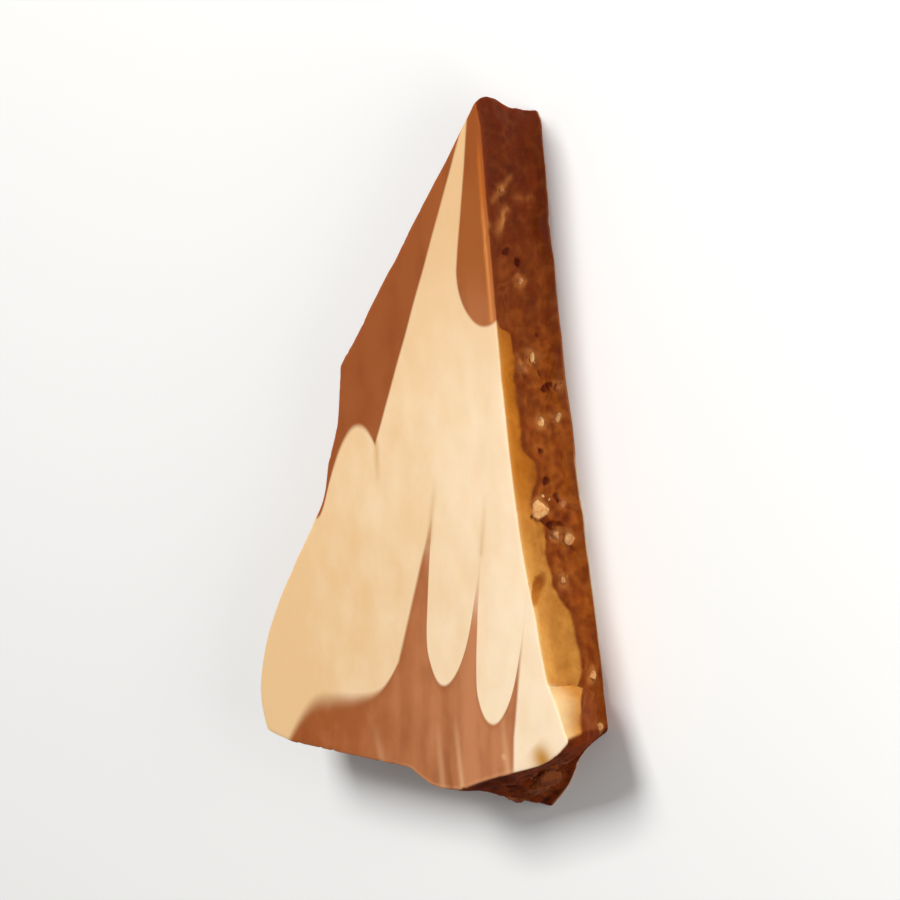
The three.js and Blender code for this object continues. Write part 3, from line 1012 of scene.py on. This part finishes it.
# %% Colours of the face
def face_colour(finish, x, y, share, inside, streaks):
    """Milk, lighter and pinker downwards and to the right as a painted sheen, with painted shade
    beside the drips, and blonde, lighter to the right, partly as painted light. Both have faint
    streaks along the pour, and the milk's rims get a painted glow and a painted highlight."""
    broad = finish.noise(8.0, stretch=(1, 0.4, 1))
    mottle = finish.noise(2.5, detail=3.0, stretch=(1, 0.6, 1))
    from_rim = finish.number("from_rim")
    # painted light makes the blonde lighter to the right; the clouds are its own uneven tone
    pallor_and_light = (x * 0.026 + 0.45 + 0.9 * broad + 0.7 * mottle).most(0.0).least(1.0)
    blonde = pallor_and_light.mix((230, 193, 144), (246, 224, 193))
    blonde = (y.step(6.0, 30.0) * 0.85).mix(blonde, (222, 181, 130))

    # painted sheen: the milk is lighter and pinker to the right and downwards
    milk_top = x.step(-2.0, 8.0).mix((150, 80, 38), (156, 86, 38))
    milk_low = x.step(-16.0, 6.0).mix((158, 86, 42), (182, 116, 74))
    right = x.step(5.0, 7.5)
    grain = (0.3 + 0.7 * x.step(-10.0, 2.0)) * streaks + 0.6 * mottle
    lighter = grain.most(0.0) * 1.4 * y.step(20.0, -24.0)
    darker = (-grain).most(0.0) * 1.4
    # painted shade on the milk beside the blonde's drips
    shade_beside_blonde = (-inside).step(1.1, 0.1) * y.step(-4.0, -14.0)
    faint = (y + 0.75 * x).step(-11.5, -2.5) * y.step(3.0, 0.0) * x.step(-4.0, -2.0)
    # painted glow: the milk's right rim is bright orange, as light shining through the thin edge
    painted_edge_glow = from_rim.step(0.95, 0.35) * milk_tongue(x, y).step(0.0, 0.4)
    painted_edge_glow = painted_edge_glow * (0.2 + 0.8 * from_rim.step(0.0, 0.35)) * y.step(40.5, 35.5)
    # painted highlight along the face's bottom rim
    low_rim_highlight = from_rim.step(0.4, 0.1) * y.step(-29.0, -32.0) * x.step(-8.0, 2.0)
    milk = washed(
        y.step(6.0, -20.0).mix(milk_top, milk_low),
        (right * y.step(30.0, 38.0) * 0.4, (140, 64, 18)),
        # painted sheen on the right
        (right * y.step(26.0, 18.0) * 0.25, (206, 140, 98)),
        (lighter.least(0.25) + 0.04, (206, 140, 98)),
        (darker.least(0.3), (124, 60, 24)),
        (shade_beside_blonde * 0.3, (150, 82, 38)),
        (faint * 0.9, blonde),
        (painted_edge_glow * 0.85, y.step(34.0, 27.0).mix((190, 104, 40), (214, 136, 72))),
        (low_rim_highlight * 0.3, (226, 166, 116)),
    )
    brushed = streak_tint(x, y)
    return washed(
        share.mix(milk, blonde),
        (brushed.most(0.0), (232, 184, 140)),
        ((-brushed).most(0.0), share.most(faint).mix((136, 70, 32), (192, 136, 58))),
    )


# %% [markdown]
# Cut chocolate is deeper and warmer than set chocolate, partly for its rough texture and partly
# as painted shade, and the hollows of the relief get painted shade. Each colour is a pair, as
# painted light makes the shard lighter towards its lower end.

# %% Colours of the breaks
CUT_MILK = [
    # higher up, lower down, which is lighter as painted light
    ((72, 21, 0), (104, 38, 2)),  # in hollows
    ((112, 43, 4), (160, 82, 14)),  # raised
    ((106, 32, 4), (142, 54, 12)),  # raised and reddish
    ((134, 62, 20), (180, 100, 40)),  # spots of fudge
]
CUT_BLONDE = [
    # higher up, lower down, which is lighter as painted light
    ((128, 60, 6), (164, 96, 26)),  # tan in hollows
    ((168, 94, 14), (210, 146, 64)),  # tan
    ((168, 94, 12), (202, 134, 52)),  # ochre in hollows
    ((196, 118, 28), (230, 166, 82)),  # ochre
    ((206, 138, 56), (232, 182, 108)),  # cream
]
NOTCH_Y, NOTCH_DEPTH, NOTCH_TILT = -11.8, 1.5, 0.75
NOTCH_HALF_WIDTH, NOTCH_HALF_HEIGHT = 1.2, 1.8


def cut_milk(finish, x, y, depth, raised, beneath, low):
    """Milk: lighter downwards as painted light, with painted shade in the hollows and on the
    bottom break, darker just beneath the blonde, and with soft spots of fudge and of red."""
    # painted light: each pair is lighter lower down; the first is painted shade in the hollows
    hollow_shade, light, reddish, fudge = [y.step(36.0, 0.0).mix(*pair) for pair in CUT_MILK]
    hue = finish.noise(2.4, detail=1.0)
    spots = finish.noise(1.1, detail=0.5)
    light = (hue * 2.0).most(0.0).least(0.6).mix(light, reddish)
    return washed(
        raised.mix(hollow_shade, light),
        ((spots * 1.5).most(0.0), fudge),
        ((spots * -1.8).most(0.0), (104, 28, 2)),
        (beneath * 0.45, (104, 34, 0)),
        (y.step(-22.5, -26.0) * x.step(0.0, 5.0) * 0.45, (124, 46, 0)),
        (depth.step(0.9, 0.1) * 0.5, (126, 52, 4)),
        # painted shade on the bottom break
        (low, (raised + spots).step(0.0, 1.0).mix((56, 12, 0), (112, 42, 6))),
    )


def cut_blonde(x, y, depth, raised, patches, specks):
    """Blonde, deeper than on the face partly as painted shade: cream at the face's edge as a
    painted highlight, ochre under it and tan deeper down, with painted shade in the hollows. The
    bevel at the lower right is painted pale and gold where light catches it, and one round notch
    is a deeper brown, more so towards the tip."""
    # painted light: lighter lower down; the pairs in hollows are painted shade
    lit_lower_down = y.step(2.0, -12.0)
    tan_hollow_shade, tan, ochre_hollow_shade, ochre, cream = [lit_lower_down.mix(*pair) for pair in CUT_BLONDE]
    tan, ochre = raised.mix(tan_hollow_shade, tan), raised.mix(ochre_hollow_shade, ochre)
    lit_gold = raised.mix((188, 116, 40), (216, 148, 66))
    further = depth - 0.35 * (y + 23.0) + 0.8 * (y + 24.2).most(0.0) + 0.5 * patches
    # painted light: the bevel is pale and gold where it faces the light
    lit_bevel = (y + BEVEL["slant"] * depth).step(-21.5, -22.1) * x.step(0.0, 5.0)
    duller = (y + 13.8).size().step(2.2, 0.6) * depth.step(0.3, 1.2)
    under = depth - NOTCH_DEPTH
    down = under / NOTCH_HALF_HEIGHT
    along = y - NOTCH_Y - NOTCH_TILT * under + 0.3 * patches + 0.8 * specks
    along = along / NOTCH_HALF_WIDTH
    notch = (1.0 - down * down - along * along).step(-0.15, 0.7) * x.step(10.0, 11.0)
    # a round notch of deeper brown, more so towards the tip
    notch_brown = (along + down).step(-0.8, 1.0).mix((184, 108, 24), (140, 64, 0))
    return washed(
        (depth + 0.8 * patches).step(0.9, 3.8).mix(ochre, tan),
        # painted highlight: cream along the face's rim
        (depth.step(1.1, 0.0), cream),
        (y.step(13.0, 18.5) * 0.55, (140, 72, 16)),
        (lit_bevel, further.step(0.3, 4.5).mix((240, 206, 150), lit_gold)),
        (duller * 0.35, (184, 112, 38)),
        (notch * 0.9, notch_brown),
    )


def break_colour(finish, x, y, depth, share, layer, low):
    """Milk and blonde by the blonde's share, stained round crunch by the tint, which is painted
    shade in pits and cracks.
    """
    patches = finish.noise(1.5, detail=3.0)
    specks = finish.noise(0.45, detail=2.0)
    raised = (finish.number("relief") + 0.3 * patches + 0.2 * specks).step(-0.4, 0.3)
    beneath = (depth - layer).step(1.2, 0.4)
    tint = finish.number("tint")
    milk = cut_milk(finish, x, y, depth, raised, beneath, low)
    blonde = cut_blonde(x, y, depth, raised, patches, specks)
    return washed(
        share.mix(milk, blonde),
        (tint.most(0.0) * 0.8, (200, 126, 62)),
        # painted shade in pits and cracks
        ((-tint).most(0.0) * 0.8, (82, 16, 2)),
    )


print("pairs of colours:", len(CUT_MILK), "for milk and", len(CUT_BLONDE), "for blonde")

# %% [markdown]
# The face and the breaks are one piece, so they are one material, and the mask named cut
# tells them apart. Light goes a little way in, and what is finer than the mesh is a bump.

# %% Marbled chocolate
def chocolate_finish():
    finish = Finish("marbled_chocolate")
    x, y, z = finish.axes()
    depth = THICKNESS - z
    streaks = finish.noise(2.6, stretch=(1, 0.12, 1))
    share, inside, layer, low = marbling(finish, x, y, depth)
    face = face_colour(finish, x, y, share, inside, streaks)
    broken = break_colour(finish, x, y, depth, share, layer, low)
    cut = depth.step(0.0, 0.26) * z.step(0.05, 0.35)
    waves = 0.05 * finish.noise(6.0, detail=1.0) + 0.012 * streaks
    grain = 0.1 * finish.noise(0.4, detail=3.0) + 0.16 * finish.noise(1.2)
    finish.set(
        Base_Color=cut.mix(face, broken),
        Roughness=0.36 + 0.14 * cut + 0.3 * low * cut + 0.1 * streaks,
        Normal=finish.bump(waves + cut * grain),
        Subsurface_Weight=0.3,
        Subsurface_Radius=(1.0, 0.42, 0.16),
        Subsurface_Scale=1.2 * MM,
        Specular_IOR_Level=0.07,
    )
    return finish.material


chocolate.data.materials.append(chocolate_finish())
print("nodes in the chocolate:", len(chocolate.data.materials[0].node_tree.nodes))

# %% [markdown]
# The crunch is cooked sugar and butter: amber where it is clear, and cream, with a tone near
# 1, where it is full of tiny bubbles. A tone below 0 is painted shade, for crunch on the bottom
# break. Where a bit meets the break, chocolate is smeared over it.

# %% Caramel crunch
def crunch_finish():
    finish = Finish("caramel_crunch")
    tone = finish.number("tone")
    patches = finish.noise(0.7)
    milky = (patches + 0.5).step(0.3, 0.7)
    amber = milky.mix((138, 60, 12), (190, 106, 44))
    cream = milky.mix((220, 156, 90), (238, 190, 128))
    dark = (-tone).most(0.0)
    smeared = (finish.number("rise") + 0.3 * patches).step(0.26, 0.0)
    finish.set(
        Base_Color=washed(
            amber,
            ((tone + 0.3 * patches).step(0.2, 0.85), cream),
            # painted shade on the crunch of the bottom break
            (dark, (98, 38, 8)),
            (smeared * 0.85, (140, 72, 24)),
        ),
        Roughness=0.34 + 0.25 * (patches + 0.5) + 0.35 * dark,
        Coat_Weight=0.12 * (1.0 - dark),
        Normal=finish.bump(0.14 * finish.noise(0.3, detail=3.0)),
        Subsurface_Weight=0.5,
        Subsurface_Radius=(1.0, 0.55, 0.2),
        Subsurface_Scale=0.8 * MM,
        Specular_IOR_Level=0.25,
        Coat_Roughness=0.2,
    )
    return finish.material


crunch.data.materials.append(crunch_finish())
print("nodes in the crunch:", len(crunch.data.materials[0].node_tree.nodes))

# %% [markdown]
# The set is plain: a pale floor, a soft key light from above the tip, a weaker one on the
# break and even fill from all round. Small lamps would make hard spots of gloss.

# %% Floor and lights
FLOOR_HALF = 1.5
FILL_COLOUR, FILL_STRENGTH = (1.0, 0.98, 0.96, 1.0), 0.23
LIGHT_COLOUR = (1.0, 0.985, 0.96)
LIGHTS = [
    # name, direction, distance, size, power
    ("key", (-0.198, 0.574, 0.795), 0.7, 0.28, 4.65),
    ("break fill", (0.93, 0.15, 0.35), 0.3, 0.16, 0.4),
]

floor_mesh = bpy.data.meshes.new("floor")
floor_corners = FLOOR_HALF * np.array([(-1, -1, 0), (1, -1, 0), (1, 1, 0), (-1, 1, 0)])
floor_mesh.from_pydata(floor_corners.tolist(), [], [(0, 1, 2, 3)])
floor = new_object("floor", floor_mesh)
floor_finish = Finish("floor")
floor_shade = floor_finish.noise(60.0) + 0.5
floor_colour = floor_shade.mix((240, 241, 242), (243, 244, 244))
floor_finish.set(Base_Color=floor_colour, Roughness=0.7)
floor_mesh.materials.append(floor_finish.material)

world = bpy.data.worlds.new("studio")
world.use_nodes = True
background = world.node_tree.nodes["Background"]
background.inputs["Color"].default_value = FILL_COLOUR
background.inputs["Strength"].default_value = FILL_STRENGTH
bpy.context.scene.world = world

for name, direction, distance, size, power in LIGHTS:
    lamp = bpy.data.lights.new(name, "AREA")
    lamp.energy = power
    lamp.size = size
    lamp.color = LIGHT_COLOUR
    light = new_object(name, lamp)
    light.location = Vector(direction).normalized() * distance
    light.rotation_euler = Vector(direction).to_track_quat("Z", "Y").to_euler()
print("lights:", [row[0] for row in LIGHTS])

# %% [markdown]
# The camera looks at the face from the right and a little from the tip's side, from far away
# and with a long lens, so that parallel lines stay nearly parallel.

# %% Camera
FACE_TURN = math.radians(46)
CAMERA_RISE = math.radians(12)
LENS = 500.0
SENSOR = 36.0
VIEW_HEIGHT = 0.102
VIEW_CENTRE = Vector((0.001, -0.001, 0.005))

towards_camera = Vector((
    math.sin(FACE_TURN) * math.cos(CAMERA_RISE),
    math.sin(CAMERA_RISE),
    math.cos(FACE_TURN) * math.cos(CAMERA_RISE),
))
side = Vector((0, 1, 0)).cross(towards_camera).normalized()
up = towards_camera.cross(side)
camera_data = bpy.data.cameras.new("camera")
camera_data.lens = LENS
camera_data.sensor_width = SENSOR
camera = new_object("camera", camera_data)
camera.location = VIEW_CENTRE + towards_camera * VIEW_HEIGHT * LENS / SENSOR
camera.rotation_euler = Matrix([side, up, towards_camera]).transposed().to_euler()
bpy.context.scene.camera = camera
bpy.context.scene.view_settings.view_transform = "Standard"
print("camera", round(camera.location.length, 2), "m away")
